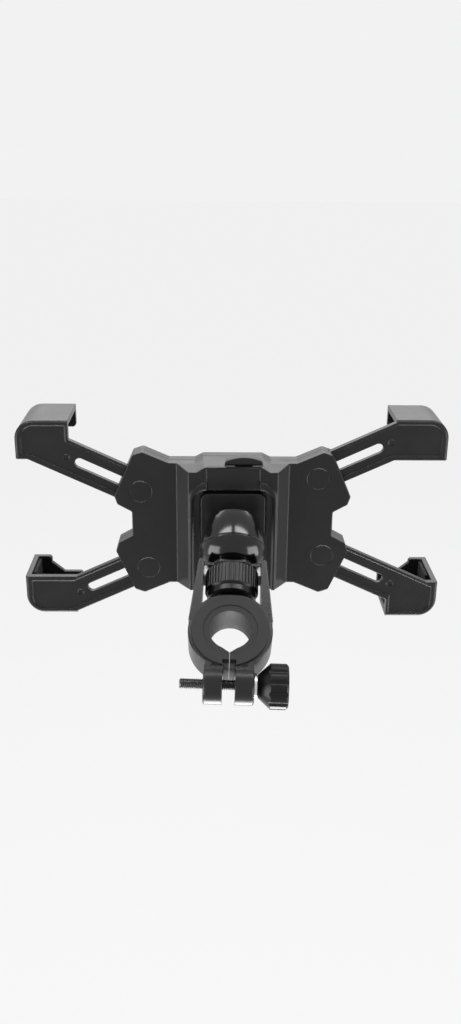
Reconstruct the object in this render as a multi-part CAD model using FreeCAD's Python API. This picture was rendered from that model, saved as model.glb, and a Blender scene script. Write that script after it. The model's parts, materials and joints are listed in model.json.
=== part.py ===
"""Bicycle phone mount: a four-claw rack-and-pinion cradle on a ball joint, held on a handlebar by a screw clamp.

Row frame (mm): origin at the centre of the handlebar bore, +X along the long side of the cradle, +Y from the clamp
towards the phone, +Z up. Two working frames are used and both are placed in the row frame at the end:
  cradle frame  same directions, origin at the centre of the cradle's back face
  clamp frame   origin at the bore centre, Z up the neck to the ball, -Y out of the front of the bore, X along the bolt
"""
import math
import os

import FreeCAD
import Part

V = FreeCAD.Vector
X, Y, Z = V(1, 0, 0), V(0, 1, 0), V(0, 0, 1)

# ---------------------------------------------------------------- driving dimensions: how the two frames stand
NECK_LEAN = 55.0            # the neck leans this far from +Z towards the phone
NECK_TWIST = 2.1            # small sideways lean of the neck
BALL_TO_PLATE = 24.3        # ball centre to the cradle's back face
BALL_DROP = 4.7             # ball centre above the middle of the cradle
FIT = 0.15                  # clearance between pieces that move past each other
SEAT = 0.05                 # clearance between pieces that are fastened together

# cradle plate
PLATE_T = 10.0              # thickness of the wings
SPLIT_Y = 5.0               # where the two covers meet
BACK_WALL = 1.7
FRONT_WALL = 1.6
SIDE_WALL = 1.8
HALF_W = 50.1               # outermost point of the plate
HALF_H = 32.1
WAIST_H = 27.3              # half height between the wings
CREST_H = 29.1              # half height at the middle
CREST_HALF = 12.5

# raised block with the quick-release rail
BLOCK_FOOT = 23.65          # half width at the plate
BLOCK_FACE = 18.6           # half width at its back face
BLOCK_DEPTH = 9.0
BLOCK_LOW = -26.4
BLOCK_HIGH = 26.2
RAIL_PROUD = 1.2            # the bead round the rail
RAIL_OUT = 18.2             # outer half width of the bead
RAIL_IN = 13.6              # half width of the rail's mouth
RAIL_R = 7.3                # corner radius at the closed end
RAIL_BEAD = 1.6             # width of the bead
RAIL_TOP = 22.2             # closed end of the bead
MOUTH_R = 2.8
SHOE_FLANGE = 16.0          # half width of the shoe's flange
SHOE_FLANGE_T = 2.5
SHOE_TOP = 17.0
SLIDE_GAP = 0.2             # shoe to rail
CHANNEL_FLOOR = -5.0        # where the rail's channel ends, towards the plate
FLOOR_T = 1.6

# arms
ARM_ANGLE = 25.0            # each arm to the long axis
ARM_W = 14.9
ARM_T = 3.0
ARM_GAP = 0.2               # between layers and walls
ARM_OFFSET = 3.25           # arm's centreline from the cradle's centre
SLOT_W = 4.3
SLOT_END = 69.5             # centre of the slot's outer end, along the arm
ARM_ROOT = 33.5             # where the full width starts
RACK_ROOT = -4.0            # inner end of the rack
RACK_BAR = 5.3              # width of the rack bar
TRAVEL = 25.0               # each arm's stroke
BOSS_AT = 41.5              # screw boss, along the arm
BOSS_R = 2.0

# claws
CLAW_X = 91.0
CLAW_Z = 44.8
CLAW_REACH = 30.0           # far face of the lips
CLAW_WALL = 2.2
CLAW_R = 8.0
CLAW_LOW = {True: 28.3, False: 27.3}   # lower end of the side wall, near and far claws
CLAW_IN = 68.7              # inner end of the top wall
LIP_SIDE = 8.2              # width of the lip along the side wall
LIP_TOP = 9.8
LIP_CUT = (5.6, 4.7)        # bevel of the lip's inner corner
PANEL_SIDE, PANEL_TOP = 2.7, 2.0       # rim round the claw's sunk panel
PANEL_DEPTH = 0.5
ARM_RIM_LOW, ARM_RIM_HIGH = 2.2, 1.2   # rim along the arm's lower and upper edge
PANEL_FROM = 46.0
CLAW_BEVEL = 0.8
PAD_T = 1.3
RIB_STEP, RIB_CUT = 1.6, 0.5

# rack and pinion
MODULE = 1.0
TEETH = 12
PRESSURE = math.radians(20)
PINION_ADD, RACK_ADD, RACK_DED = 0.9, 0.65, 1.15
BACKLASH = 0.15
AXLE_R = 2.0

# ball joint
BALL_R = 10.0
STEM_R = 3.6
BALL_UP = 45.95             # ball centre up the neck from the bore
BALL_ROOM = 0.3
SEAM_UP = BALL_UP - 7.0     # where the cap meets the cup
SEAM_R = 13.19
RIM_R = 11.02
RIM_UP = SEAM_UP + 13.15
RIM_BEVEL = 0.6
SEAM_GROOVE = 0.3
SPIGOT_L = 3.3              # the cap's thread
PAD_R = 9.8
PAD_LOW = BALL_UP - BALL_R - BALL_ROOM - 1.25
PUSH_STROKE = 1.0
PUSH_HEAD_R, PUSH_HEAD_T = 6.0, 1.0
CUP_FLOOR = PAD_LOW - 0.1 - PUSH_HEAD_T - PUSH_STROKE - 0.2
CUP_LOW = CUP_FLOOR - 0.9
CUP_FOOT_R, CUP_FOOT = 5.0, 1.0
BRIDGE_TOP = CUP_LOW - 0.05
BRIDGE_LOW = BRIDGE_TOP - 1.6
BRIDGE_HALF = 3.6           # half width of the bridge between the yoke's arms

# lock wheel
WHEEL_R = 10.32
WHEEL_TOP = SEAM_UP - 11.15
WHEEL_SPLIT = SEAM_UP - 20.34
WHEEL_LOW = SEAM_UP - 22.6
WHEEL_BEVEL = 0.7
KNURLS = 44
PUSHER_R = 3.0

# handlebar clamp
BORE_R = 7.93               # liner, for a 15.9 mm bar
SHELL_IN = 12.7             # bare clamp, for a 25.4 mm bar
SHELL_OUT = 15.9
SHELL_BEVEL = 0.5
CLAMP_L = 14.89
FLANGE_R = 14.42
FLANGE_T = 0.85
STEP_R = 10.27
JAW_GAP = 4.7
FIN_LOW = -15.2             # the liner's two fins between the jaws end here
LUG_OUT = 9.4
BOLT_DOWN = 19.1            # bolt axis below the bore centre
LUG_R = 7.3
BOLT_R = 1.95               # M4
THREAD = 0.7
BOLT_TIP = 18.1
WASHER_T, WASHER_R = 1.0, 4.6
KNOB_NECK, KNOB_SHOULDER, KNOB_END = 10.45, 15.0, 21.9
KNOB_R = 8.4
FLUTES = 12
NUT_AF, NUT_T = 7.0, 3.2

# screws
SCREW_R, HEAD_R, HEAD_T = 0.95, 1.75, 0.9
CAP_R, CAP_T = 4.6, 0.5


# ---------------------------------------------------------------- helpers
def unit(angle):
    """Direction at an angle from +X towards +Z, in the cradle's plane."""
    return V(math.cos(math.radians(angle)), 0, math.sin(math.radians(angle)))


def box(x0, x1, y0, y1, z0, z1):
    return Part.makeBox(x1 - x0, y1 - y0, z1 - z0, V(x0, y0, z0))


def rod(radius, start, end):
    return Part.makeCylinder(radius, (end - start).Length, start, end - start)


def cone(r0, r1, start, end):
    return Part.makeCone(r0, r1, (end - start).Length, start, end - start)


def rounded_wire(points, radii):
    """Closed wire through the points with each corner rounded by its radius."""
    count = len(points)
    ends, edges = [], []
    for i, point in enumerate(points):
        before = (points[i - 1] - point).normalize()
        after = (points[(i + 1) % count] - point).normalize()
        radius = radii[i] if isinstance(radii, (list, tuple)) else radii
        if radius < 1e-6:
            ends.append((point, point, None))
            continue
        half = before.getAngle(after) / 2
        back = radius / math.tan(half)
        bisector = (before + after).normalize()
        centre = point + bisector * (radius / math.sin(half))
        middle = centre - bisector * radius
        ends.append((point + before * back, point + after * back, middle))
    for i, (start, end, middle) in enumerate(ends):
        if middle is not None:
            edges.append(Part.Arc(start, middle, end).toShape())
        following = ends[(i + 1) % count][0]
        if end.distanceToPoint(following) > 1e-5:
            edges.append(Part.makeLine(end, following))
    return Part.Wire(edges)


def plate_of(points, radii, y0, y1):
    """Prism of a rounded outline in the XZ plane, from y0 to y1."""
    wire = rounded_wire([V(px, y0, pz) for px, pz in points], radii)
    return Part.Face(wire).extrude(V(0, y1 - y0, 0))


def along(direction, normal, s, v, y=0.0):
    return direction * s + normal * v + V(0, y, 0)


def strip(direction, normal, s0, s1, v0, v1, y0, y1):
    """Bar along a direction in the cradle's plane."""
    corners = [along(direction, normal, s, v, y0) for s, v in ((s0, v0), (s1, v0), (s1, v1), (s0, v1))]
    return Part.Face(Part.makePolygon(corners + corners[:1])).extrude(V(0, y1 - y0, 0))


def stadium(direction, normal, s0, s1, v, width, y0, y1):
    """Round-ended slot from centre s0 to centre s1."""
    bar = strip(direction, normal, s0, s1, v - width / 2, v + width / 2, y0, y1)
    for s in (s0, s1):
        bar = bar.fuse(rod(width / 2, along(direction, normal, s, v, y0), along(direction, normal, s, v, y1)))
    return bar.removeSplitter()


def turned(profile, centre=V(0, 0, 0), axis=Z):
    """Solid of revolution about the local Z axis from (radius, height) points."""
    points = [V(r, 0, h) for r, h in profile]
    shape = Part.Face(Part.makePolygon(points + points[:1])).revolve(V(0, 0, 0), Z, 360)
    shape.Placement = FreeCAD.Placement(centre, FreeCAD.Rotation(Z, axis))
    return shape


def group(shapes):
    return Part.makeCompound(shapes)


def cut_all(shape, tools):
    for tool in tools:
        shape = shape.cut(tool)
    return shape


# ---------------------------------------------------------------- the four arms
class Arm:
    """One arm: its direction d, the direction n from the centre to its rack, its layer and its corner of the cradle."""

    def __init__(self, name, angle, near):
        self.name, self.near = name, near
        self.d, self.n = unit(angle), unit(angle + 90)
        self.rack_angle = angle + 90
        self.y0 = BACK_WALL + ARM_GAP if near else SPLIT_Y + ARM_GAP / 2
        self.y1 = self.y0 + ARM_T
        self.sx = 1 if self.d.x > 0 else -1
        self.sz = 1 if self.d.z > 0 else -1

    def at(self, s, v):
        point = along(self.d, self.n, s, v)
        return point.x, point.z

    def x_on_edge(self, v, z):
        """x where the arm's edge at v crosses the height z."""
        return (v - self.n.z * z) / self.n.x

    def z_on_edge(self, v, x):
        return (v - self.n.x * x) / self.n.z


ARMS = [Arm("arm_upper_left", 180 - ARM_ANGLE, True), Arm("arm_upper_right", ARM_ANGLE, False),
        Arm("arm_lower_right", -ARM_ANGLE, True), Arm("arm_lower_left", 180 + ARM_ANGLE, False)]
ARM_V0 = ARM_OFFSET - ARM_W / 2          # plain edge
ARM_V1 = ARM_OFFSET + ARM_W / 2          # rack edge
PITCH_R = MODULE * TEETH / 2
PITCH = math.pi * MODULE


def rack(arm):
    """Rack bar with straight-flanked teeth facing the pinion."""
    pitch_line, tip, root = PITCH_R, PITCH_R - RACK_ADD, PITCH_R + RACK_DED
    step = 360.0 / TEETH
    lag = math.radians((-arm.rack_angle) % step)          # from the rack's contact to the next pinion tooth
    first = -PITCH_R * lag                                # that tooth's space on the rack
    bar = strip(arm.d, arm.n, RACK_ROOT, ARM_ROOT + 1, root, ARM_V1, arm.y0, arm.y1)
    half = (PITCH - BACKLASH) / 4
    lean = math.tan(PRESSURE)
    count = int((ARM_ROOT - RACK_ROOT) / PITCH) + 3
    teeth = []
    for k in range(-3, count):
        s = first + (k + 0.5) * PITCH
        if s - 1.4 < RACK_ROOT or s + 1.4 > ARM_ROOT:
            continue
        corners = [(s - half - lean * (root - pitch_line), root), (s + half + lean * (root - pitch_line), root),
                   (s + half - lean * (pitch_line - tip), tip), (s - half + lean * (pitch_line - tip), tip)]
        corners = [along(arm.d, arm.n, a, b, arm.y0) for a, b in corners]
        teeth.append(Part.Face(Part.makePolygon(corners + corners[:1])).extrude(V(0, ARM_T, 0)))
    return bar.multiFuse(teeth)


def claw_profile(arm, inset, top_end, low):
    """Corner outline of the claw's wall, set in by inset, as (x, z) points with radii: outer low, corner, top end."""
    x, z = CLAW_X - inset, CLAW_Z - inset
    points = [(x, low), (x, z), (top_end, z)]
    return [(arm.sx * px, arm.sz * pz) for px, pz in points], [0, max(CLAW_R - inset, 0.5), 0]


def wall_profile(arm, outside, inside, end, low):
    outer, outer_r = claw_profile(arm, outside, end, low)
    inner, inner_r = claw_profile(arm, inside, end, low)
    return outer + inner[::-1], outer_r + inner_r[::-1]


def claw_panel(arm):
    """The sunk panel of the near plate and arm, with a rim left all round."""
    v0_rim, v1_rim = (ARM_RIM_LOW, ARM_RIM_HIGH) if arm.n.z > 0 else (ARM_RIM_HIGH, ARM_RIM_LOW)
    v0, v1 = ARM_V0 + v0_rim, ARM_V1 - v1_rim
    x = arm.sx * (CLAW_X - PANEL_SIDE)
    low, top = arm.sz * (CLAW_LOW[arm.near] + PANEL_TOP), arm.sz * (CLAW_Z - PANEL_TOP)
    points = [(x, low), (x, top)]
    if arm.near:
        inner = arm.sx * (CLAW_IN + ARM_RIM_HIGH)
        points += [(inner, top), (inner, arm.z_on_edge(v0, inner)), arm.at(PANEL_FROM, v0), arm.at(PANEL_FROM, v1),
                   (arm.x_on_edge(v1, low), low)]
    else:
        points += [(arm.x_on_edge(v1, top), top), arm.at(PANEL_FROM, v1), arm.at(PANEL_FROM, v0), (arm.x_on_edge(v0, low), low)]
    radii = [0.6, CLAW_R - PANEL_SIDE] + [0.3] * (len(points) - 2)
    return plate_of(points, radii, arm.y0 - 1, arm.y0 + PANEL_DEPTH)


def arm_shape(arm):
    full = strip(arm.d, arm.n, ARM_ROOT, SLOT_END - 6, ARM_V0, ARM_V1, arm.y0, arm.y1)
    claw_low = CLAW_LOW[arm.near]
    low, top = arm.sz * claw_low, arm.sz * CLAW_Z
    outer = [(arm.sx * CLAW_X, low), (arm.sx * CLAW_X, top)]
    if arm.near:
        inner_x = arm.sx * CLAW_IN
        shape = [outer[0], outer[1], (inner_x, top), (inner_x, arm.z_on_edge(ARM_V0, inner_x)), arm.at(SLOT_END - 8, ARM_V0),
                 arm.at(SLOT_END - 8, ARM_V1), (arm.x_on_edge(ARM_V1, low), low)]
        radii = [1.0, CLAW_R, 1.0, 0, 0, 0, 0]
    else:
        shape = [outer[0], outer[1], (arm.x_on_edge(ARM_V1, top), top), arm.at(SLOT_END - 8, ARM_V1),
                 arm.at(SLOT_END - 8, ARM_V0), (arm.x_on_edge(ARM_V0, low), low)]
        radii = [1.0, CLAW_R, 1.0, 0, 0, 0]
    body = full.fuse(plate_of(shape, radii, arm.y0, arm.y1)).fuse(rack(arm))
    body = body.fuse(plate_of(*wall_profile(arm, 0, CLAW_WALL, CLAW_IN, claw_low), arm.y0, CLAW_REACH))
    in_x, in_z = CLAW_X - LIP_SIDE, CLAW_Z - LIP_TOP
    lip = [(CLAW_X, claw_low), (CLAW_X, CLAW_Z), (CLAW_IN, CLAW_Z), (CLAW_IN, in_z), (in_x - LIP_CUT[0], in_z),
           (in_x, in_z - LIP_CUT[1]), (in_x, claw_low)]
    lip = [(arm.sx * px, arm.sz * pz) for px, pz in lip]
    body = body.fuse(plate_of(lip, [0, CLAW_R, 0, 1.5, 0, 0, 1.5], CLAW_REACH - CLAW_WALL, CLAW_REACH))
    slot = stadium(arm.d, arm.n, BOSS_AT - 0.6, SLOT_END, ARM_OFFSET, SLOT_W, arm.y0 - 1, arm.y1 + 1)
    body = body.cut(slot).removeSplitter()
    rim = [edge for edge in body.Edges if edge.BoundBox.YMax - arm.y0 < 1e-3 and edge.BoundBox.YMin - arm.y0 > -1e-3
           and min(abs(point.x) - CLAW_X + CLAW_R + 0.1 for point in (v.Point for v in edge.Vertexes)) > 0
           and (abs(abs(edge.CenterOfMass.x) - CLAW_X) < 1e-3 or edge.Curve.TypeId == "Part::GeomCircle")
           and edge.Length > 3.0]
    body = body.makeChamfer(CLAW_BEVEL, rim)
    dimple = rod(1.3, along(arm.d, arm.n, SLOT_END + 6, ARM_OFFSET, arm.y0 - 1),
                 along(arm.d, arm.n, SLOT_END + 6, ARM_OFFSET, arm.y0 + PANEL_DEPTH + 0.4))
    return body.cut(claw_panel(arm)).cut(dimple)


def claw_pad(arm):
    """Ribbed rubber corner pad inside the claw's walls."""
    inside = CLAW_WALL + SEAT
    face = inside + PAD_T
    low, end = CLAW_LOW[arm.near] + 1.0, CLAW_IN + 1.0
    y0, y1 = PLATE_T + 2.0, CLAW_REACH - CLAW_WALL - SEAT
    pad = plate_of(*wall_profile(arm, inside, face, end, low), y0, y1)
    grooves = []
    z = low + RIB_STEP
    while z < CLAW_Z - CLAW_R - 0.5:
        grooves.append((CLAW_X - face - 1, CLAW_X - face + RIB_CUT, z - 0.35, z + 0.35))
        z += RIB_STEP
    x = end + RIB_STEP
    while x < CLAW_X - CLAW_R - 0.5:
        grooves.append((x - 0.35, x + 0.35, CLAW_Z - face - 1, CLAW_Z - face + RIB_CUT))
        x += RIB_STEP
    tools = [box(*sorted((arm.sx * a, arm.sx * b)), y0 - 1, y1 + 1, *sorted((arm.sz * c, arm.sz * d))) for a, b, c, d in grooves]
    return cut_all(pad, tools)


# ---------------------------------------------------------------- covers
def outline():
    """Half of the plate's outline from the right waist round the top to the left waist, then its half turn."""
    right = [(HALF_W - 7.3, 5.6, 1.0), (HALF_W - 1.2, 9.0, 1.0), (HALF_W, 12.6, 1.0), (HALF_W - 7.9, HALF_H - 1.5, 1.5),
             (HALF_W - 12.1, HALF_H, 1.5), (HALF_W - 23.1, WAIST_H, 2.0), (CREST_HALF + 3.5, WAIST_H, 1.0), (CREST_HALF, CREST_H, 1.0)]
    half = right + [(-px, pz, r) for px, pz, r in right[::-1]]
    ring = half + [(-px, -pz, r) for px, pz, r in half]
    return [(px, pz) for px, pz, _ in ring], [r for _, _, r in ring]


def outline_face(inset, y):
    points, radii = outline()
    wire = rounded_wire([V(px, y, pz) for px, pz in points], radii)
    face = Part.Face(wire)
    return face.makeOffset2D(-inset, 2) if inset else face


def outline_prism(inset, y0, y1):
    return outline_face(inset, y0).extrude(V(0, y1 - y0, 0))


def boss_places():
    return [along(arm.d, arm.n, BOSS_AT, ARM_OFFSET) for arm in ARMS]


def arm_windows(near, y0, y1):
    foot = 0.3 if near else 1.4          # the far claws' feet enter their mouths at full stroke
    return [strip(arm.d, arm.n, BOSS_AT - 6, BOSS_AT + 25, ARM_V0 - foot, ARM_V1 + 0.3, y0, y1)
            for arm in ARMS if arm.near == near]


RATCHET_R = 8.0
RATCHET_TEETH, RATCHET_DEPTH = 24, 1.1
RATCHET_Y = (-3.2, -0.9)
WELL_R = RATCHET_R + 0.6
PAWL_PIVOT = V(7.5, 0, 11.5)
TAB_HALF, TAB_LOW, TAB_HIGH = 10.8, CREST_H - 10.3, CREST_H - 1.1
TAB_Y0, TAB_Y1 = -9.0, -7.4
TAB_GAP = 0.15
TAB_PIN = V(0, -8.2, CREST_H - 5.1)
BUTTON_X, BUTTON_HALF, BUTTON_Y = 4.4, 7.6, (-7.2, -3.6)
BUTTON_NECK = 3.4           # half width of the neck
BUTTON_BAR = CREST_H - 6.7  # underside of the bridge behind the latch
BUTTON_TRAVEL = 1.0


def bead_outline(inset, low, y0, y1):
    """Arch along the rail, set in by inset on the sides and twice that at the closed end."""
    x, top, radius = RAIL_OUT - inset, RAIL_TOP - 2 * inset, RAIL_R - inset
    return plate_of([(x, low), (x, top), (-x, top), (-x, low)], [0, radius, radius, 0], y0, y1)


def block():
    """Raised block on the back face and its rail bead."""
    def ring(foot, low, high, crest, notch, y):
        points = [(foot, low), (foot, high), (notch + 3.5, high), (notch, crest), (-notch, crest), (-notch - 3.5, high),
                  (-foot, high), (-foot, low)]
        return Part.makePolygon([V(px, y, pz) for px, pz in points + points[:1]])
    body = Part.makeLoft([ring(BLOCK_FOOT, -WAIST_H, WAIST_H, CREST_H, CREST_HALF, 0),
                          ring(BLOCK_FACE, BLOCK_LOW, BLOCK_HIGH, CREST_H - 0.7, CREST_HALF - 0.7, -BLOCK_DEPTH)], True, True)
    crown = -BLOCK_DEPTH - RAIL_PROUD
    bead = bead_outline(0, BLOCK_LOW, crown, -BLOCK_DEPTH).cut(bead_outline(RAIL_BEAD, BLOCK_LOW - 1, crown - 1, 1))
    edges = [edge for edge in bead.Edges if edge.BoundBox.YMax < crown + 1e-3 and edge.BoundBox.ZLength > 1.0]
    return body.fuse(bead.makeFillet(0.5, edges))


def channel():
    """Room for the shoe: the undercut and the mouth between the lips."""
    undercut = box(-SHOE_FLANGE - SLIDE_GAP, SHOE_FLANGE + SLIDE_GAP, CHANNEL_FLOOR - SHOE_FLANGE_T - 2 * SLIDE_GAP,
                   CHANNEL_FLOOR, BLOCK_LOW - 5, SHOE_TOP + 0.4)
    mouth = plate_of([(RAIL_IN, BLOCK_LOW - 5), (RAIL_IN, TAB_LOW - 0.3), (-RAIL_IN, TAB_LOW - 0.3), (-RAIL_IN, BLOCK_LOW - 5)],
                     [0, MOUTH_R, MOUTH_R, 0], -BLOCK_DEPTH - 3, CHANNEL_FLOOR)
    return [undercut, mouth]


def back_cover():
    body = outline_prism(0, 0, SPLIT_Y).cut(outline_prism(SIDE_WALL, BACK_WALL, SPLIT_Y + 1))
    body = body.fuse(block())
    floor = CHANNEL_FLOOR + FLOOR_T
    cuts = channel()
    cuts.append(rod(WELL_R, Y * floor, Y * (BACK_WALL + 0.1)))
    cuts.append(box(-2.5, 15.5, floor, BACK_WALL + 0.1, 3.0, 21.5))          # pawl room
    # behind the latch: room for the button's bridge, its neck and its head when pressed
    cuts.append(box(-0.6, 15.5, floor - 2.8, BACK_WALL + 0.1, 19.5, BUTTON_BAR + 3.8))
    cuts.append(box(BUTTON_X - BUTTON_NECK - 0.2, BUTTON_X + BUTTON_NECK + 0.2, -6.2, -3.8, BUTTON_BAR + 2.6, CREST_H + 1))
    cuts.append(box(BUTTON_X - BUTTON_HALF - 0.2, BUTTON_X + BUTTON_HALF + 0.2, BUTTON_Y[0] - 0.2, BUTTON_Y[1] + 0.2,
                    CREST_H - BUTTON_TRAVEL - 0.05, CREST_H + 5))
    cuts.append(rod(AXLE_R + 0.02, Y * (CHANNEL_FLOOR + 0.5), Y * 0.5))
    cuts.append(box(-TAB_HALF - TAB_GAP, TAB_HALF + TAB_GAP, -BLOCK_DEPTH - 3, TAB_Y1 + 0.5, TAB_LOW - 0.3, TAB_HIGH + 0.2))
    cuts.append(rod(0.52, TAB_PIN - X * (TAB_HALF + 2.6), TAB_PIN + X * (TAB_HALF + 2.6)))
    cuts.append(rod(0.77, PAWL_PIVOT + Y * (floor - 1.0), PAWL_PIVOT + Y * floor))
    for place in boss_places():
        cuts.append(rod(CAP_R + SEAT, place - Y * 0.1, place + Y * (CAP_T + 0.02)))
        cuts.append(rod(HEAD_R + SEAT, place, place + Y * (CAP_T + HEAD_T + 0.1)))
        cuts.append(rod(SCREW_R + SEAT, place, place + Y * (SPLIT_Y + 1)))
    return cut_all(body, cuts + arm_windows(True, BACK_WALL, SPLIT_Y + 1)).multiFuse(boss_columns())


def boss_columns():
    """The hollow screw bosses that stand in the arms' slots."""
    rings = []
    for place in boss_places():
        ring = rod(BOSS_R, place + Y * (CAP_T + HEAD_T + 0.1), place + Y * SPLIT_Y)
        rings.append(ring.cut(rod(SCREW_R + SEAT, place, place + Y * (SPLIT_Y + 1))))
    return rings


def front_cover():
    inner = PLATE_T - FRONT_WALL
    body = outline_prism(0, SPLIT_Y, PLATE_T).cut(outline_prism(SIDE_WALL, SPLIT_Y - 1, inner))
    body = body.fuse(plate_of([(36, -23), (36, 23), (-36, 23), (-36, -23)], 6.0, PLATE_T, PLATE_T + 2.0))
    body = body.cut(plate_of([(33.5, -20.5), (33.5, 20.5), (-33.5, 20.5), (-33.5, -20.5)], 4.0, PLATE_T + 0.6, PLATE_T + 3))
    body = cut_all(body, arm_windows(False, SPLIT_Y - 1, inner))
    bosses = [rod(BOSS_R, place + Y * SPLIT_Y, place + Y * (inner + 0.5)) for place in boss_places()]
    body = body.multiFuse(bosses)
    cuts = [rod(SCREW_R + 0.02, place + Y * (SPLIT_Y - 1), place + Y * (inner - 0.4)) for place in boss_places()]
    cuts.append(rod(AXLE_R + 0.02, Y * (inner - 1), Y * (inner + 0.8)))
    return cut_all(body, cuts)


def front_pad():
    return plate_of([(33.4, -20.4), (33.4, 20.4), (-33.4, 20.4), (-33.4, -20.4)], 4.0, PLATE_T + 0.6, PLATE_T + 4.0)


def cover_screws():
    screws = []
    for place in boss_places():
        head = place + Y * (CAP_T + 0.05)
        seat = head + Y * HEAD_T
        screw = rod(HEAD_R, head, seat).fuse(rod(SCREW_R, seat, place + Y * (PLATE_T - FRONT_WALL - 0.8)))
        cross = box(-0.25, 0.25, 0, 0.5, -1.0, 1.0).fuse(box(-1.0, 1.0, 0, 0.5, -0.25, 0.25))
        cross.translate(head)
        screws.append(screw.cut(cross))
    return group(screws)


def screw_caps():
    return group([rod(CAP_R, place, place + Y * CAP_T) for place in boss_places()])


# ---------------------------------------------------------------- gear train and release
def involute(base, radius):
    roll = math.sqrt(max((radius / base) ** 2 - 1, 0))
    return roll - math.atan(roll)


def pinion_gear():
    base = PITCH_R * math.cos(PRESSURE)
    tip, root = PITCH_R + PINION_ADD, PITCH_R - 1.1
    half = math.pi / (2 * TEETH) - BACKLASH / (4 * PITCH_R) + involute(base, PITCH_R)
    flank = [(r, half - involute(base, r)) for r in (max(base, root) + (tip - max(base, root)) * k / 5 for k in range(6))]
    points = []
    for tooth in range(TEETH):
        centre = 2 * math.pi * tooth / TEETH
        side = [(root, -half)] + [(r, -a) for r, a in flank] + [(r, a) for r, a in flank[::-1]] + [(root, half)]
        points += [V(r * math.cos(centre + a), GEAR_Y[0], r * math.sin(centre + a)) for r, a in side]
    gear = Part.Face(Part.makePolygon(points + points[:1])).extrude(V(0, GEAR_Y[1] - GEAR_Y[0], 0))
    hub = rod(HUB_R, Y * (RATCHET_Y[0] + 0.1), Y * (GEAR_Y[0] + 0.1))
    return gear.fuse(hub).cut(rod(AXLE_R + SEAT, Y * -6, Y * 12)).cut(
        box(HUB_R - 0.6, HUB_R + 1, RATCHET_Y[0], RATCHET_Y[1], -5, 5))


def ratchet_wheel():
    points = []
    for k in range(RATCHET_TEETH):
        a = 2 * math.pi * k / RATCHET_TEETH
        for r in (RATCHET_R, RATCHET_R - RATCHET_DEPTH):
            points.append(V(r * math.cos(a), RATCHET_Y[0], r * math.sin(a)))
    wheel = Part.Face(Part.makePolygon(points + points[:1])).extrude(V(0, RATCHET_Y[1] - RATCHET_Y[0], 0))
    bore = rod(HUB_R + SEAT, Y * -6, Y * 2).cut(box(HUB_R - 0.55, HUB_R + 1, -7, 3, -5, 5))
    return wheel.cut(bore)


def pinion_axle():
    return rod(AXLE_R, Y * (CHANNEL_FLOOR + 0.6), Y * (PLATE_T - FRONT_WALL + 0.7))


def opening_spring():
    """Flat spiral spring round the pinion's hub."""
    turns, r0, r1, thick = 3.5, HUB_R + 0.6, WELL_R - 0.15, 0.3
    steps = int(turns * 16)
    inner, outer = [], []
    for k in range(steps + 1):
        a = 2 * math.pi * turns * k / steps
        r = r0 + (r1 - thick - r0) * k / steps
        inner.append(V(r * math.cos(a), SPRING_Y[0], r * math.sin(a)))
        outer.append(V((r + thick) * math.cos(a), SPRING_Y[0], (r + thick) * math.sin(a)))
    sides = []
    for points in (inner, outer):
        curve = Part.BSplineCurve()
        curve.interpolate(points)
        sides.append(curve.toShape())
    ends = [Part.makeLine(inner[0], outer[0]), Part.makeLine(inner[-1], outer[-1])]
    wire = Part.Wire(Part.__sortEdges__(sides + ends))
    return Part.Face(wire).extrude(V(0, SPRING_Y[1] - SPRING_Y[0], 0))


GEAR_Y = (BACK_WALL + ARM_GAP, SPLIT_Y + ARM_GAP / 2 + ARM_T)
HUB_R = 3.4
SPRING_Y = (-0.7, 1.5)
PAWL_NOSE = V(0.4, 0, RATCHET_R + 0.35)
PAWL_TAIL = V(12.6, 0, 13.4)


def pawl_lever():
    y0, y1 = RATCHET_Y
    def limb(start, end, width0, width1):
        direction = (end - start).normalize()
        side = V(-direction.z, 0, direction.x)
        corners = [start + side * width0, end + side * width1, end - side * width1, start - side * width0]
        corners = [point + Y * y0 for point in corners]
        return Part.Face(Part.makePolygon(corners + corners[:1])).extrude(V(0, y1 - y0, 0))
    nose = plate_of([(PAWL_NOSE.x - 0.5, PAWL_NOSE.z), (PAWL_NOSE.x + 0.9, PAWL_NOSE.z + 0.35), (PAWL_PIVOT.x + 0.6, PAWL_PIVOT.z - 1.7),
                     (PAWL_PIVOT.x - 1.2, PAWL_PIVOT.z + 1.6), (PAWL_NOSE.x - 0.5, PAWL_NOSE.z + 2.2)], 0, y0, y1)
    lever = nose.fuse(rod(2.2, PAWL_PIVOT + Y * y0, PAWL_PIVOT + Y * y1)).fuse(limb(PAWL_PIVOT, PAWL_TAIL, 1.2, 0.9))
    lever = lever.fuse(rod(0.9, PAWL_TAIL + Y * y0, PAWL_TAIL + Y * y1))
    return lever.cut(rod(0.8, PAWL_PIVOT - Y * 9, PAWL_PIVOT + Y * 9))


def pawl_pin():
    return rod(0.75, PAWL_PIVOT + Y * (CHANNEL_FLOOR + FLOOR_T - 0.95), PAWL_PIVOT + Y * (BACK_WALL - 0.2))


def coil(radius, wire, pitch, height, base, axis=Z):
    """Round-wire compression spring."""
    helix = Part.makeHelix(pitch, height, radius)
    start = V(radius, 0, 0)
    section = Part.Wire(Part.makeCircle(wire, start, Y))
    spring = Part.Wire(helix.Edges).makePipeShell([section], True, True)
    spring.Placement = FreeCAD.Placement(base, FreeCAD.Rotation(Z, axis))
    return spring


def pawl_spring():
    """Drawn as short as the pressed tail leaves it."""
    low = 3.6
    height = PAWL_TAIL.z - 1.3 - BUTTON_TRAVEL - low
    return coil(0.85, 0.16, 0.75, height, V(PAWL_TAIL.x, sum(RATCHET_Y) / 2, low))


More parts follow.
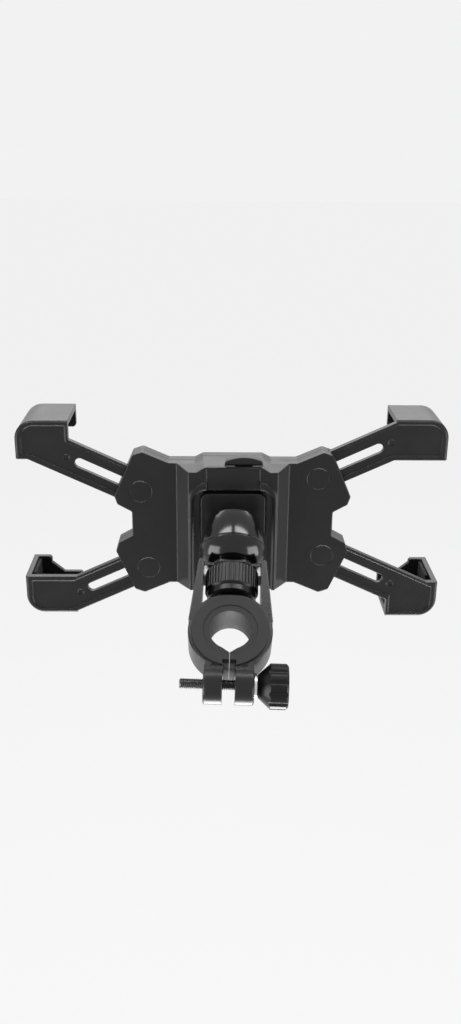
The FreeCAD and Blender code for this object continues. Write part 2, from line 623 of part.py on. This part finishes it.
def release_button():
    x0, x1 = BUTTON_X - BUTTON_HALF, BUTTON_X + BUTTON_HALF
    y0, y1 = BUTTON_Y
    shoulder, crown = CREST_H + 1.4, CREST_H + 3.1
    arc = Part.Arc(V(x0, y0, shoulder), V(BUTTON_X, y0, crown), V(x1, y0, shoulder)).toShape()
    low = CREST_H + 0.15
    sides = [Part.makeLine(V(x1, y0, shoulder), V(x1, y0, low)), Part.makeLine(V(x1, y0, low), V(x0, y0, low)),
             Part.makeLine(V(x0, y0, low), V(x0, y0, shoulder))]
    head = Part.Face(Part.Wire([arc] + sides)).extrude(V(0, y1 - y0, 0))
    neck = box(BUTTON_X - BUTTON_NECK, BUTTON_X + BUTTON_NECK, -6.0, -4.0, BUTTON_BAR, CREST_H + 0.3)
    bridge = box(0.4, 13.6, -6.0, RATCHET_Y[1], BUTTON_BAR, BUTTON_BAR + 1.6)
    leg = box(11.4, 13.6, RATCHET_Y[0] + 0.1, RATCHET_Y[1] - 0.1, PAWL_TAIL.z + 0.9 + 0.35, BUTTON_BAR + 0.6)
    return head.fuse(neck).fuse(bridge).fuse(leg).removeSplitter()


def latch_tab():
    tab = box(-TAB_HALF, TAB_HALF, TAB_Y0, TAB_Y1, TAB_LOW, TAB_HIGH)
    return tab.cut(rod(0.55, TAB_PIN - X * 20, TAB_PIN + X * 20))


def latch_pin():
    return rod(0.5, TAB_PIN - X * (TAB_HALF + 2.4), TAB_PIN + X * (TAB_HALF + 2.4))


# ---------------------------------------------------------------- quick-release shoe and ball stud
BALL = V(0, -BALL_TO_PLATE, BALL_DROP)
SHOE_LOW = -20.0
SHOE_Y = (CHANNEL_FLOOR - SHOE_FLANGE_T - SLIDE_GAP, CHANNEL_FLOOR - SLIDE_GAP)
SHOE_FACE = -9.2
COLLAR_R = 6.0


def shoe():
    flange = box(-SHOE_FLANGE, SHOE_FLANGE, SHOE_Y[0], SHOE_Y[1], SHOE_LOW, SHOE_TOP)
    half = RAIL_IN - SLIDE_GAP
    raised = plate_of([(half, SHOE_LOW), (half, SHOE_TOP), (-half, SHOE_TOP), (-half, SHOE_LOW)], [0, MOUTH_R, MOUTH_R, 0],
                      SHOE_FACE, SHOE_Y[0] + 0.1)
    axis = V(0, 0, BALL_DROP)
    body = flange.fuse(raised)
    body = body.cut(rod(1.6, axis - Y * 12, axis))
    return body.cut(rod(3.1, axis + Y * (SHOE_Y[1] - 1.7), axis + Y)).removeSplitter()


def shoe_screw():
    axis = V(0, 0, BALL_DROP)
    head = axis + Y * (SHOE_Y[1] - 0.1)
    seat = axis + Y * (SHOE_Y[1] - 1.65)
    screw = rod(3.0, seat, head).fuse(rod(1.5, axis - Y * 16, seat))
    cross = box(-0.35, 0.35, -0.9, 0.1, -1.8, 1.8).fuse(box(-1.8, 1.8, -0.9, 0.1, -0.35, 0.35))
    cross.translate(head)
    return screw.cut(cross)


def ball_stud():
    axis = V(0, 0, BALL_DROP)
    face = SHOE_FACE - 0.1
    collar = cone(STEM_R, COLLAR_R, axis + Y * (face - 1.2), axis + Y * face)
    stem = rod(STEM_R, BALL, axis + Y * face)
    ball = Part.makeSphere(BALL_R, BALL)
    return collar.fuse(stem).fuse(ball).cut(rod(1.57, axis - Y * 16.5, axis)).removeSplitter()


# ---------------------------------------------------------------- clamp side, in the clamp frame
def socket_cap():
    ball = BALL_UP
    room = BALL_R + BALL_ROOM
    opening = 3.0
    outer = [V(SEAM_R, 0, SEAM_UP), V(SEAM_R - 0.55, 0, SEAM_UP + 7.0), V(RIM_R, 0, RIM_UP - RIM_BEVEL)]
    arc = Part.Arc(*outer).toShape()
    spigot, bore = SEAM_R - 1.55, room + 0.1
    inner_top = V(math.sqrt(room ** 2 - opening ** 2), 0, ball + opening)
    middle = V(room * math.cos(0.15), 0, ball + room * math.sin(0.15))
    lip, rim = V(RIM_R - RIM_BEVEL, 0, RIM_UP), V(RIM_R - 1.2, 0, RIM_UP)
    edges = [Part.makeLine(V(spigot, 0, SEAM_UP), outer[0]), arc, Part.makeLine(outer[2], lip), Part.makeLine(lip, rim),
             Part.makeLine(rim, inner_top), Part.Arc(inner_top, middle, V(room, 0, ball)).toShape(),
             Part.makeLine(V(room, 0, ball), V(room, 0, SEAM_UP - SPIGOT_L)),
             Part.makeLine(V(room, 0, SEAM_UP - SPIGOT_L), V(spigot, 0, SEAM_UP - SPIGOT_L)),
             Part.makeLine(V(spigot, 0, SEAM_UP - SPIGOT_L), V(spigot, 0, SEAM_UP))]
    return Part.Face(Part.Wire(edges)).revolve(V(0, 0, 0), Z, 360)


def socket_cup():
    """Lower half of the socket: takes the cap's thread, the friction pad and the pusher's head."""
    top, wide = SEAM_UP - SEAT, SEAM_R - 1.5
    arc = Part.Arc(V(SEAM_R, 0, top - SEAM_GROOVE), V(SEAM_R - 0.64, 0, BALL_UP - 10.0), V(8.6, 0, CUP_LOW + 0.6)).toShape()
    points = [(8.6, CUP_LOW + 0.6), (7.8, CUP_LOW), (CUP_FOOT_R, CUP_LOW), (CUP_FOOT_R, CUP_LOW - CUP_FOOT),
              (PUSHER_R + SEAT, CUP_LOW - CUP_FOOT), (PUSHER_R + SEAT, CUP_FLOOR), (PUSH_HEAD_R + FIT, CUP_FLOOR),
              (PUSH_HEAD_R + FIT, PAD_LOW - SEAT), (PAD_R + 0.1, PAD_LOW - SEAT), (PAD_R + 0.1, top - SPIGOT_L - 0.1),
              (wide, top - SPIGOT_L - 0.1), (wide, top), (SEAM_R - SEAM_GROOVE, top), (SEAM_R, top - SEAM_GROOVE)]
    points = [V(r, 0, h) for r, h in points]
    edges = [arc] + [Part.makeLine(a, b) for a, b in zip(points, points[1:])]
    return Part.Face(Part.Wire(edges)).revolve(V(0, 0, 0), Z, 360)


WINDOW_HALF = 11.2
SHELL_HALF = CLAMP_L / 2 - FLANGE_T
BOLT = V(0, 0, -BOLT_DOWN)


def clamp_body():
    yoke = plate_of([(SHELL_OUT, 4.0), (SEAM_R, BRIDGE_TOP), (-SEAM_R, BRIDGE_TOP), (-SHELL_OUT, 4.0)], [0, 1.2, 1.2, 0],
                    -SHELL_HALF, SHELL_HALF)
    yoke = yoke.cut(box(-WINDOW_HALF, WINDOW_HALF, -20, 20, 0, BRIDGE_LOW))
    for y0, y1 in ((-SHELL_HALF - 1, -BRIDGE_HALF), (BRIDGE_HALF, SHELL_HALF + 1)):
        yoke = yoke.cut(box(-WINDOW_HALF, WINDOW_HALF, y0, y1, 0, BRIDGE_TOP + 1))
    yoke = yoke.fuse(rod(8.2, Z * BRIDGE_LOW, Z * BRIDGE_TOP).common(box(-20, 20, -SHELL_HALF, SHELL_HALF, 0, 60)))
    rim = SHELL_OUT - SHELL_BEVEL
    body = yoke.fuse(turned([(0, -SHELL_HALF), (rim, -SHELL_HALF), (SHELL_OUT, -SHELL_HALF + SHELL_BEVEL),
                             (SHELL_OUT, SHELL_HALF - SHELL_BEVEL), (rim, SHELL_HALF), (0, SHELL_HALF)], axis=Y))
    for side in (-1, 1):
        x0, x1 = sorted((side * JAW_GAP / 2, side * (LUG_OUT - 0.5)))
        web = box(x0, x1, -SHELL_HALF, SHELL_HALF, -BOLT_DOWN, -9)
        barrel = rod(LUG_R, V(side * JAW_GAP / 2, 0, -BOLT_DOWN), V(side * LUG_OUT, 0, -BOLT_DOWN))
        rim = [edge for edge in barrel.Edges if abs(abs(edge.CenterOfMass.x) - LUG_OUT) < 1e-3]
        body = body.fuse(web).fuse(barrel.makeFillet(1.0, rim))
    cuts = [rod(SHELL_IN, Y * -20, Y * 20),
            box(-JAW_GAP / 2, JAW_GAP / 2, -20, 20, -40, -5),
            rod(CUP_FOOT_R + SEAT, Z * (CUP_LOW - CUP_FOOT - SEAT), Z * (CUP_LOW + 1)),
            rod(PUSHER_R + SEAT, Z * (BRIDGE_LOW - 1), Z * (BRIDGE_TOP + 1)),
            rod(BOLT_R + 0.15, BOLT - X * 30, BOLT + X * 30),
            hexagon(NUT_AF + 0.1, -LUG_OUT - 1, -LUG_OUT + NUT_T + 0.2)]
    body = cut_all(body, cuts)
    for side in (-1, 1):
        mark = V(side * 5.6, -SHELL_HALF, -BOLT_DOWN + 4.4)
        body = body.cut(rod(1.1, mark - Y, mark + Y * 0.5))
    return body.removeSplitter()


def hexagon(across, x0, x1):
    """Hexagonal prism on the bolt's axis."""
    r = across / math.sqrt(3)
    corners = [BOLT + V(x0, r * math.cos(math.radians(60 * k)), r * math.sin(math.radians(60 * k))) for k in range(6)]
    return Part.Face(Part.makePolygon(corners + corners[:1])).extrude(X * (x1 - x0))


def clamp_nut():
    nut = hexagon(NUT_AF, -LUG_OUT + 0.05, -LUG_OUT + 0.05 + NUT_T)
    return nut.cut(rod(BOLT_R + SEAT, BOLT - X * 30, BOLT + X * 30))


def clamp_bolt():
    """M4 bolt with annular thread grooves, its plain end held in the knob."""
    depth = 0.3
    start, threaded = -BOLT_TIP, LUG_OUT - 3.0
    profile = [(0, start), (BOLT_R - 0.5, start)]
    count = int((threaded - start - 1) / THREAD)
    h = start + 0.5
    for k in range(count):
        profile += [(BOLT_R, h + THREAD * (k + 0.1)), (BOLT_R, h + THREAD * (k + 0.25)), (BOLT_R - depth, h + THREAD * (k + 0.62)),
                    (BOLT_R - depth, h + THREAD * (k + 0.73))]
    profile += [(BOLT_R, threaded), (BOLT_R, KNOB_END - 2.0), (0, KNOB_END - 2.0)]
    return turned(profile, BOLT, X)


def clamp_washer():
    return rod(WASHER_R, BOLT + X * (LUG_OUT + 0.02), BOLT + X * (LUG_OUT + 0.02 + WASHER_T)).cut(
        rod(BOLT_R + SEAT, BOLT - X * 30, BOLT + X * 30))


def clamp_knob():
    profile = [(0, KNOB_NECK), (4.0, KNOB_NECK), (KNOB_R - 0.3, KNOB_SHOULDER), (KNOB_R, KNOB_SHOULDER + 0.3), (KNOB_R, KNOB_END - 0.8),
               (KNOB_R - 0.8, KNOB_END), (5.6, KNOB_END), (5.2, KNOB_END - 0.4), (0, KNOB_END - 0.4)]
    knob = turned(profile, BOLT, X)
    flutes = []
    for k in range(FLUTES):
        a = 2 * math.pi * (k + 0.5) / FLUTES
        at = BOLT + V(0, math.cos(a), math.sin(a)) * (KNOB_R + 0.75)
        flutes.append(rod(1.35, at + X * (KNOB_SHOULDER - 2.5), at + X * (KNOB_END + 1)))
    return knob.cut(group(flutes)).cut(rod(BOLT_R + 0.02, BOLT, BOLT + X * (KNOB_END - 1.95)))


def rubber_liner():
    half = CLAMP_L / 2
    sleeve = rod(SHELL_IN - SEAT, Y * -half, Y * half)
    for y0, y1 in ((-half, -half + FLANGE_T - SEAT), (half - FLANGE_T + SEAT, half)):
        sleeve = sleeve.fuse(rod(FLANGE_R, Y * y0, Y * y1))
    step = rod(STEP_R, Y * (-half - 1), Y * (-half + 0.35))
    vee = Part.Face(Part.makePolygon([V(x, -20, z) for x, z in ((-5.8, -5.4), (0, -9.4), (5.8, -5.4), (-5.8, -5.4))])).extrude(Y * 40)
    gap = box(-JAW_GAP / 2 - 0.2, JAW_GAP / 2 + 0.2, -20, 20, -20, -SHELL_IN + 0.4)
    shape = cut_all(sleeve.cut(rod(BORE_R, Y * -20, Y * 20)), [step, vee, gap])
    fin = JAW_GAP / 2 - FIT
    shape = shape.fuse(box(-fin, fin, -SHELL_HALF + 0.5, SHELL_HALF - 0.5, FIN_LOW, -SHELL_IN + 0.6))
    return shape.cut(box(-0.05, 0.05, -20, 20, -SHELL_OUT, -9)).removeSplitter()


def lock_wheel():
    bevel = WHEEL_BEVEL
    wheel = turned([(0, WHEEL_LOW), (WHEEL_R - 0.9, WHEEL_LOW), (WHEEL_R - 0.9, WHEEL_SPLIT), (WHEEL_R - bevel, WHEEL_SPLIT),
                    (WHEEL_R, WHEEL_SPLIT + bevel), (WHEEL_R, WHEEL_TOP - 0.3), (WHEEL_R - 0.3, WHEEL_TOP), (0, WHEEL_TOP)])
    notches = []
    for k in range(KNURLS):
        a = 2 * math.pi * k / KNURLS
        at = V(math.cos(a), math.sin(a), 0) * (WHEEL_R + 0.2)
        notches.append(rod(0.48, at + Z * (WHEEL_SPLIT + bevel + 0.2), at + Z * (WHEEL_TOP + 1)))
    return wheel.cut(group(notches)).cut(rod(PUSHER_R + SEAT, Z * 10, Z * (SEAM_UP + 1)))


def pusher():
    head = PAD_LOW - 0.1 - PUSH_HEAD_T
    return rod(PUSHER_R, Z * (WHEEL_LOW + 0.9), Z * (head + 0.2)).fuse(rod(PUSH_HEAD_R, Z * head, Z * (head + PUSH_HEAD_T)))


def friction_pad():
    pad = rod(PAD_R, Z * PAD_LOW, Z * (SEAM_UP - 0.6))
    return pad.cut(Part.makeSphere(BALL_R + BALL_ROOM, Z * BALL_UP))


# ---------------------------------------------------------------- placing and export
def clamp_turn():
    """Rotation from the clamp frame to the row frame."""
    lean, twist = math.radians(NECK_LEAN), math.radians(NECK_TWIST)
    up = V(0, math.sin(lean), math.cos(lean))
    back = V(0, math.cos(lean), -math.sin(lean))
    neck = up * math.cos(twist) + X * math.sin(twist)
    side = X * math.cos(twist) - up * math.sin(twist)
    return FreeCAD.Rotation(side, back, neck, "XYZ")


TURN = clamp_turn()
CRADLE = TURN.multVec(Z * BALL_UP) - BALL

CLAMP_NODES = {
    "clamp_body": clamp_body, "socket_cup": socket_cup, "socket_cap": socket_cap, "friction_pad": friction_pad, "pusher": pusher, "lock_wheel": lock_wheel,
    "rubber_liner": rubber_liner, "clamp_bolt": clamp_bolt, "clamp_knob": clamp_knob, "clamp_washer": clamp_washer,
    "clamp_nut": clamp_nut,
}
CRADLE_NODES = {
    "back_cover": back_cover, "front_cover": front_cover, "front_pad": front_pad, "cover_screws": cover_screws,
    "screw_caps": screw_caps, "pinion_gear": pinion_gear, "pinion_axle": pinion_axle, "ratchet_wheel": ratchet_wheel,
    "opening_spring": opening_spring, "release_button": release_button, "pawl_lever": pawl_lever, "pawl_pin": pawl_pin,
    "pawl_spring": pawl_spring, "latch_tab": latch_tab, "latch_pin": latch_pin, "quick_release_shoe": shoe,
    "shoe_screw": shoe_screw, "ball_stud": ball_stud,
}


def export(name, shape):
    if not shape.isValid() or not shape.Solids:
        raise ValueError("bad shape: " + name)
    os.makedirs("parts", exist_ok=True)
    shape.exportStep("parts/" + name + ".step")


def main():
    for name, make in CLAMP_NODES.items():
        shape = make()
        shape.Placement = FreeCAD.Placement(V(0, 0, 0), TURN).multiply(shape.Placement)
        export(name, shape)
    shapes = {name: make() for name, make in CRADLE_NODES.items()}
    for arm in ARMS:
        shapes[arm.name] = arm_shape(arm)
        shapes[arm.name.replace("arm", "claw_pad")] = claw_pad(arm)
    for name, shape in shapes.items():
        shape.Placement = FreeCAD.Placement(CRADLE, FreeCAD.Rotation()).multiply(shape.Placement)
        export(name, shape)


main()
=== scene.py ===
"""Looks for the bicycle phone mount: materials, edges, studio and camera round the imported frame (metres)."""
import json
import math

import bpy
from mathutils import Matrix, Vector


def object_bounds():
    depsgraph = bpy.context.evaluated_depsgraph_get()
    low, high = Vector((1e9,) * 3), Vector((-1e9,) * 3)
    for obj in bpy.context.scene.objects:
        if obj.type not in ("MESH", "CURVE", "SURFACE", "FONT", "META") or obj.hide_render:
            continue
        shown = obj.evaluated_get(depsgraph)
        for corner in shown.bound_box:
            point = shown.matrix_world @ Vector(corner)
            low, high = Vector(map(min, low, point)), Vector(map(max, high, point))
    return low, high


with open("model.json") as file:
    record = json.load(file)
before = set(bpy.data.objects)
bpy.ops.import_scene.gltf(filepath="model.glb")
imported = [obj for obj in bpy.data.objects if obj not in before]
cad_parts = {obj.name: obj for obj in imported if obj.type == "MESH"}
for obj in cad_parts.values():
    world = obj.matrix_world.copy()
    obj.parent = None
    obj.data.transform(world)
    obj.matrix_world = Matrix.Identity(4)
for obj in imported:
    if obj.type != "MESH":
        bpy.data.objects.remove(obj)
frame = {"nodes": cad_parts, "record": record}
cad_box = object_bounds()
MM = 0.001
BEVEL_SAMPLES = 6
NOISE_LOW, NOISE_HIGH = 0.3, 0.7      # the part of a noise that most of its area lies in


# ---------------------------------------------------------------- node helpers
class Tree:
    """Small wrapper that adds and links shader nodes."""

    def __init__(self, name):
        self.material = bpy.data.materials.new(name)
        self.material.use_nodes = True
        self.nodes = self.material.node_tree.nodes
        self.links = self.material.node_tree.links
        self.nodes.clear()

    def add(self, kind, **settings):
        node = self.nodes.new(kind)
        for key, value in settings.items():
            if key.startswith("in_"):
                node.inputs[key[3:].replace("_", " ")].default_value = value
            else:
                setattr(node, key, value)
        return node

    def link(self, source, target):
        self.links.new(source, target)


def grey(level):
    return (level, level, level, 1.0)


def speckle(tree, where, scale, detail=3.0, roughness=0.6):
    """Fine noise in object space."""
    noise = tree.add("ShaderNodeTexNoise", in_Scale=scale, in_Detail=detail, in_Roughness=roughness)
    tree.link(where.outputs["Object"], noise.inputs["Vector"])
    return noise.outputs["Fac"]


def ranged(tree, value, low, high):
    """A noise spread over low to high."""
    node = tree.add("ShaderNodeMapRange")
    limits = (("From Min", NOISE_LOW), ("From Max", NOISE_HIGH), ("To Min", low), ("To Max", high))
    for name, number in limits:
        node.inputs[name].default_value = number
    tree.link(value, node.inputs["Value"])
    return node.outputs["Result"]


def blended(tree, factor, first, second):
    """Two colours mixed by a factor."""
    mix = tree.add("ShaderNodeMix", data_type="RGBA")
    tree.link(factor, mix.inputs["Factor"])
    mix.inputs["A"].default_value, mix.inputs["B"].default_value = first, second
    return mix.outputs["Result"]


def finish_tree(tree, shader, edge, bump, bump_mm, bump_strength=0.3):
    """Rounds the edges for light, adds the surface's own relief and ends the tree; edge and bump_mm in mm."""
    bevel = tree.add("ShaderNodeBevel", samples=BEVEL_SAMPLES, in_Radius=edge * MM)
    relief = tree.add("ShaderNodeBump", in_Strength=bump_strength, in_Distance=bump_mm * MM)
    tree.link(bump, relief.inputs["Height"])
    tree.link(bevel.outputs["Normal"], relief.inputs["Normal"])
    tree.link(relief.outputs["Normal"], shader.inputs["Normal"])
    output = tree.add("ShaderNodeOutputMaterial")
    tree.link(shader.outputs["BSDF"], output.inputs["Surface"])
    return tree.material


# ---------------------------------------------------------------- materials
def moulded_plastic(name, dark, light, rough, grain, relief, edge, sheen=0.5):
    """Moulded plastic: spark-eroded grain, faint flow mottling, slightly uneven gloss."""
    tree = Tree(name)
    where = tree.add("ShaderNodeTexCoord")
    mottle = speckle(tree, where, 90.0, 4.0)
    fine = speckle(tree, where, grain, 2.0)
    shader = tree.add("ShaderNodeBsdfPrincipled")
    tree.link(blended(tree, mottle, grey(dark), grey(light)), shader.inputs["Base Color"])
    tree.link(ranged(tree, mottle, rough - 0.04, rough + 0.05), shader.inputs["Roughness"])
    shader.inputs["Specular IOR Level"].default_value = sheen
    return finish_tree(tree, shader, edge, fine, relief)


def polished_plastic(name):
    """Polished black plastic with faint waviness and hairline rub marks."""
    tree = Tree(name)
    where = tree.add("ShaderNodeTexCoord")
    waves = speckle(tree, where, 55.0, 1.0)
    marks = speckle(tree, where, 2400.0, 2.0)
    shader = tree.add("ShaderNodeBsdfPrincipled")
    tree.link(blended(tree, waves, grey(0.002), grey(0.004)), shader.inputs["Base Color"])
    tree.link(ranged(tree, marks, 0.12, 0.20), shader.inputs["Roughness"])
    shader.inputs["Specular IOR Level"].default_value = 0.40
    return finish_tree(tree, shader, 0.5, waves, 0.05, 0.15)


def rubber(name, dark, light, rough):
    """Moulded rubber: dusty, faintly pitted."""
    tree = Tree(name)
    where = tree.add("ShaderNodeTexCoord")
    dust = speckle(tree, where, 160.0, 5.0)
    pits = tree.add("ShaderNodeTexVoronoi", in_Scale=1900.0)
    tree.link(where.outputs["Object"], pits.inputs["Vector"])
    shader = tree.add("ShaderNodeBsdfPrincipled")
    tree.link(blended(tree, dust, grey(dark), grey(light)), shader.inputs["Base Color"])
    tree.link(ranged(tree, dust, rough - 0.05, rough + 0.06), shader.inputs["Roughness"])
    shader.inputs["Specular IOR Level"].default_value = 0.3
    return finish_tree(tree, shader, 0.3, pits.outputs["Distance"], 0.03, 0.25)


METAL_EDGE = 0.15
SCRATCHES = 900.0
DRAWN = (1.0, 1.0, 9.0)               # scratches are shorter along Z by this much


def metal(name, dark, light, rough, tint=(1.0, 1.0, 1.0)):
    """Metal with drawn scratches and slight stain."""
    tree = Tree(name)
    where = tree.add("ShaderNodeTexCoord")
    stretch = tree.add("ShaderNodeMapping")
    stretch.inputs["Scale"].default_value = DRAWN
    tree.link(where.outputs["Object"], stretch.inputs["Vector"])
    lines = tree.add("ShaderNodeTexNoise", in_Scale=SCRATCHES, in_Detail=3.0)
    tree.link(stretch.outputs["Vector"], lines.inputs["Vector"])
    stain = speckle(tree, where, 120.0, 4.0)
    shader = tree.add("ShaderNodeBsdfPrincipled")
    first = tuple(dark * c for c in tint) + (1.0,)
    second = tuple(light * c for c in tint) + (1.0,)
    tree.link(blended(tree, stain, first, second), shader.inputs["Base Color"])
    tree.link(ranged(tree, lines.outputs["Fac"], rough - 0.06, rough + 0.08), shader.inputs["Roughness"])
    shader.inputs["Metallic"].default_value = 1.0
    return finish_tree(tree, shader, METAL_EDGE, lines.outputs["Fac"], 0.01)


# plastics: dark and light shade, roughness, grain, relief in mm, edge in mm, sheen
# rubbers and metals: dark and light shade, roughness, and a metal's tint
MATERIALS = {
    "body_plastic": moulded_plastic("body_plastic", 0.004, 0.007, 0.30, 2600.0, 0.015, 0.8, 0.30),
    "trim_plastic": moulded_plastic("trim_plastic", 0.004, 0.007, 0.36, 2600.0, 0.02, 0.3, 0.28),
    "clamp_plastic": moulded_plastic("clamp_plastic", 0.005, 0.008, 0.30, 3000.0, 0.015, 0.7, 0.36),
    "knob_plastic": moulded_plastic("knob_plastic", 0.003, 0.005, 0.30, 3000.0, 0.015, 0.35, 0.22),
    "gear_plastic": moulded_plastic("gear_plastic", 0.62, 0.70, 0.45, 2000.0, 0.01, 0.1),
    "gloss_plastic": polished_plastic("gloss_plastic"),
    "black_rubber": rubber("black_rubber", 0.018, 0.028, 0.70),
    "pad_rubber": rubber("pad_rubber", 0.012, 0.020, 0.78),
    "zinc_steel": metal("zinc_steel", 0.55, 0.68, 0.32, (1.0, 0.99, 0.97)),
    "black_steel": metal("black_steel", 0.06, 0.12, 0.34),
    "spring_steel": metal("spring_steel", 0.45, 0.58, 0.28),
    "ball_metal": metal("ball_metal", 0.10, 0.16, 0.22),
}


def dress_nodes():
    """Each carried-over CAD node takes the material of its own slot."""
    slots = {part["node"]: part["material_slot"] for part in frame["record"]["subparts"]}
    for node, obj in frame["nodes"].items():
        material = MATERIALS[slots[node]]
        if not obj.material_slots:
            obj.data.materials.append(material)
        for material_slot in obj.material_slots:
            material_slot.material = material


# ---------------------------------------------------------------- studio
PALE = 0.888           # background as the camera and mirrors see it
AMBIENT = 0.40         # background as a lamp
FLOOR_PALE = 0.932     # the floor's plain colour
FLOOR_REACH = 12.0     # half the floor's side
FLOOR_DROP = 0.6       # floor below the part's lowest point, so that the side lights reach under it
FLOOR_SHOW = 0.9       # share of the floor's plain colour, the rest is its own shading


def seen(tree):
    """1 on rays from the camera, mirrors and glass."""
    path = tree.add("ShaderNodeLightPath")
    both = tree.add("ShaderNodeMath", operation="MAXIMUM")
    every = tree.add("ShaderNodeMath", operation="MAXIMUM")
    tree.link(path.outputs["Is Camera Ray"], both.inputs[0])
    tree.link(path.outputs["Is Glossy Ray"], both.inputs[1])
    tree.link(both.outputs["Value"], every.inputs[0])
    tree.link(path.outputs["Is Transmission Ray"], every.inputs[1])
    return every.outputs["Value"]


class WorldTree(Tree):
    """The world's own shader nodes."""

    def __init__(self):
        world = bpy.data.worlds.new("studio")
        bpy.context.scene.world = world
        world.use_nodes = True
        self.nodes, self.links = world.node_tree.nodes, world.node_tree.links
        self.nodes.clear()


def backdrop():
    """Pale to the camera and in reflections, dimmer as a lamp."""
    tree = WorldTree()
    sky = tree.add("ShaderNodeBackground", in_Strength=1.0)
    tree.link(blended(tree, seen(tree), grey(AMBIENT), grey(PALE)), sky.inputs["Color"])
    output = tree.add("ShaderNodeOutputWorld")
    tree.link(sky.outputs["Background"], output.inputs["Surface"])


def floor_plane():
    """Matte floor that the camera sees mostly as its plain colour."""
    low = cad_box[0][2] - FLOOR_DROP
    mesh = bpy.data.meshes.new("floor")
    reach = FLOOR_REACH
    corners = [(-reach, -reach, low), (reach, -reach, low), (reach, reach, low), (-reach, reach, low)]
    mesh.from_pydata(corners, [], [(0, 1, 2, 3)])
    floor = bpy.data.objects.new("floor", mesh)
    bpy.context.scene.collection.objects.link(floor)
    tree = Tree("floor")
    shader = tree.add("ShaderNodeBsdfPrincipled")
    where = tree.add("ShaderNodeTexCoord")
    cloud = speckle(tree, where, 3.0)
    tree.link(blended(tree, cloud, grey(0.80), grey(0.81)), shader.inputs["Base Color"])
    shader.inputs["Roughness"].default_value = 0.9
    shader.inputs["Specular IOR Level"].default_value = 0.1
    plain = tree.add("ShaderNodeEmission", in_Strength=1.0, in_Color=grey(FLOOR_PALE))
    share = tree.add("ShaderNodeMath", operation="MULTIPLY")
    share.inputs[1].default_value = FLOOR_SHOW
    tree.link(seen(tree), share.inputs[0])
    both = tree.add("ShaderNodeMixShader")
    tree.link(share.outputs["Value"], both.inputs[0])
    tree.link(shader.outputs["BSDF"], both.inputs[1])
    tree.link(plain.outputs["Emission"], both.inputs[2])
    output = tree.add("ShaderNodeOutputMaterial")
    tree.link(both.outputs["Shader"], output.inputs["Surface"])
    mesh.materials.append(tree.material)


def softbox(name, place, aim, width, height, watts):
    """Rectangular lamp that points at aim; the camera doesn't see it."""
    data = bpy.data.lights.new(name, "AREA")
    data.shape, data.size, data.size_y, data.energy = "RECTANGLE", width, height, watts
    lamp = bpy.data.objects.new(name, data)
    lamp.location = place
    lamp.visible_camera = False
    lamp.rotation_euler = (Vector(aim) - Vector(place)).to_track_quat("-Z", "Y").to_euler()
    bpy.context.scene.collection.objects.link(lamp)


# name, place from the part's middle, width, height, watts
LAMPS = (
    ("overhead_left", (-0.36, 0.0, 0.80), 0.16, 0.60, 4.0),
    ("overhead_right", (0.36, 0.0, 0.80), 0.16, 0.60, 4.0),
    ("back", (0.0, 1.25, 0.72), 1.80, 0.55, 8.5),
    ("left", (-0.68, -0.34, -0.20), 0.60, 0.50, 6.0),
    ("right", (0.68, -0.34, -0.20), 0.60, 0.50, 6.0),
    ("below", (0.0, 0.0, -0.52), 0.45, 0.30, 5.0),
)


def lights():
    low, high = Vector(cad_box[0]), Vector(cad_box[1])
    middle = (low + high) / 2
    for name, offset, width, height, watts in LAMPS:
        softbox(name, middle + Vector(offset), middle, width, height, watts)


# ---------------------------------------------------------------- camera
FOCAL, SENSOR = 34.98, 36.0
NEAR, FAR = 0.01, 30.0
PITCH, YAW, ROLL = math.radians(21.08), math.radians(1.04), math.radians(0.54)
CAMERA_PLACE = Vector((-6.36, -333.73, 179.77)) * MM


def camera():
    data = bpy.data.cameras.new("camera")
    data.lens, data.sensor_width, data.sensor_fit = FOCAL, SENSOR, "AUTO"
    data.clip_start, data.clip_end = NEAR, FAR
    eye = bpy.data.objects.new("camera", data)
    turn = Matrix.Rotation(ROLL, 3, "Y") @ Matrix.Rotation(PITCH, 3, "X") @ Matrix.Rotation(YAW, 3, "Z")
    level = Matrix.Rotation(math.pi / 2, 3, "X")
    eye.matrix_world = Matrix.Translation(CAMERA_PLACE) @ (turn.transposed() @ level).to_4x4()
    bpy.context.scene.collection.objects.link(eye)
    bpy.context.scene.camera = eye


dress_nodes()
backdrop()
floor_plane()
lights()
camera()
bpy.context.scene.view_settings.view_transform = "Standard"
